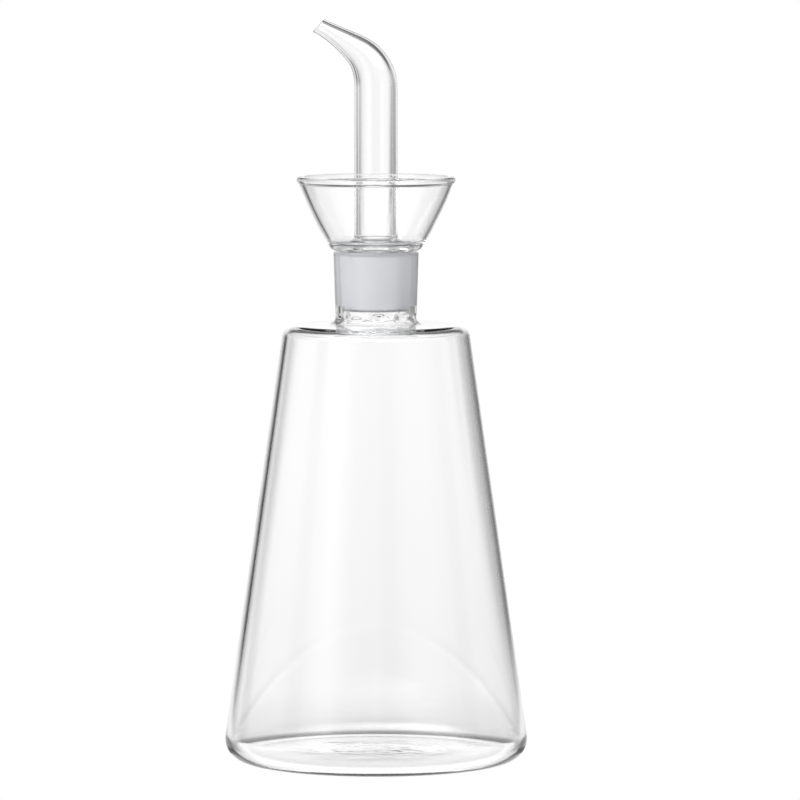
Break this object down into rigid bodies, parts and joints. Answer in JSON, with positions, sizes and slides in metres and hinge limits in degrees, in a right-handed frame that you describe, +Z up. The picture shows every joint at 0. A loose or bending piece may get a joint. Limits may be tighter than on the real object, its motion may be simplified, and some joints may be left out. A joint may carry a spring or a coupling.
{
  "type": "glass oil bottle",
  "caption": "Conical clear glass table bottle for cooking oil, with a lift-out ground-glass pourer: a drip cup that drains back and a bent, tapering spout.",
  "frame": {"origin": "centre of the base, on the surface that the bottle stands on", "axes": "+Z up along the axis of the flask and its neck; -X is where the spout points at rest, and the cup's vent is on +X; +Y is the far side as the spout points left"},
  "size_m": [0.0898, 0.0898, 0.2202],
  "materials": {
    "clear_glass": "polished, colourless",
    "ground_glass": "ground, white frost"
  },
  "bodies": {
    "bottle": {"flask_body": "clear_glass", "neck_socket": "clear_glass"},
    "plug": {"ground_plug": "ground_glass"},
    "pourer_head": {"drip_cup": "clear_glass", "spout_tube": "clear_glass"}
  },
  "joints": [
    {"name": "pourer_lift", "type": "slide", "parent": "bottle", "child": "plug", "axis": [0, 0, 1], "range_m": [0, 0.04]},
    {"name": "pourer_turn", "type": "hinge", "parent": "plug", "child": "pourer_head", "pos_m": [0, 0, 0.1518], "axis": [0, 0, 1], "continuous": true}
  ]
}
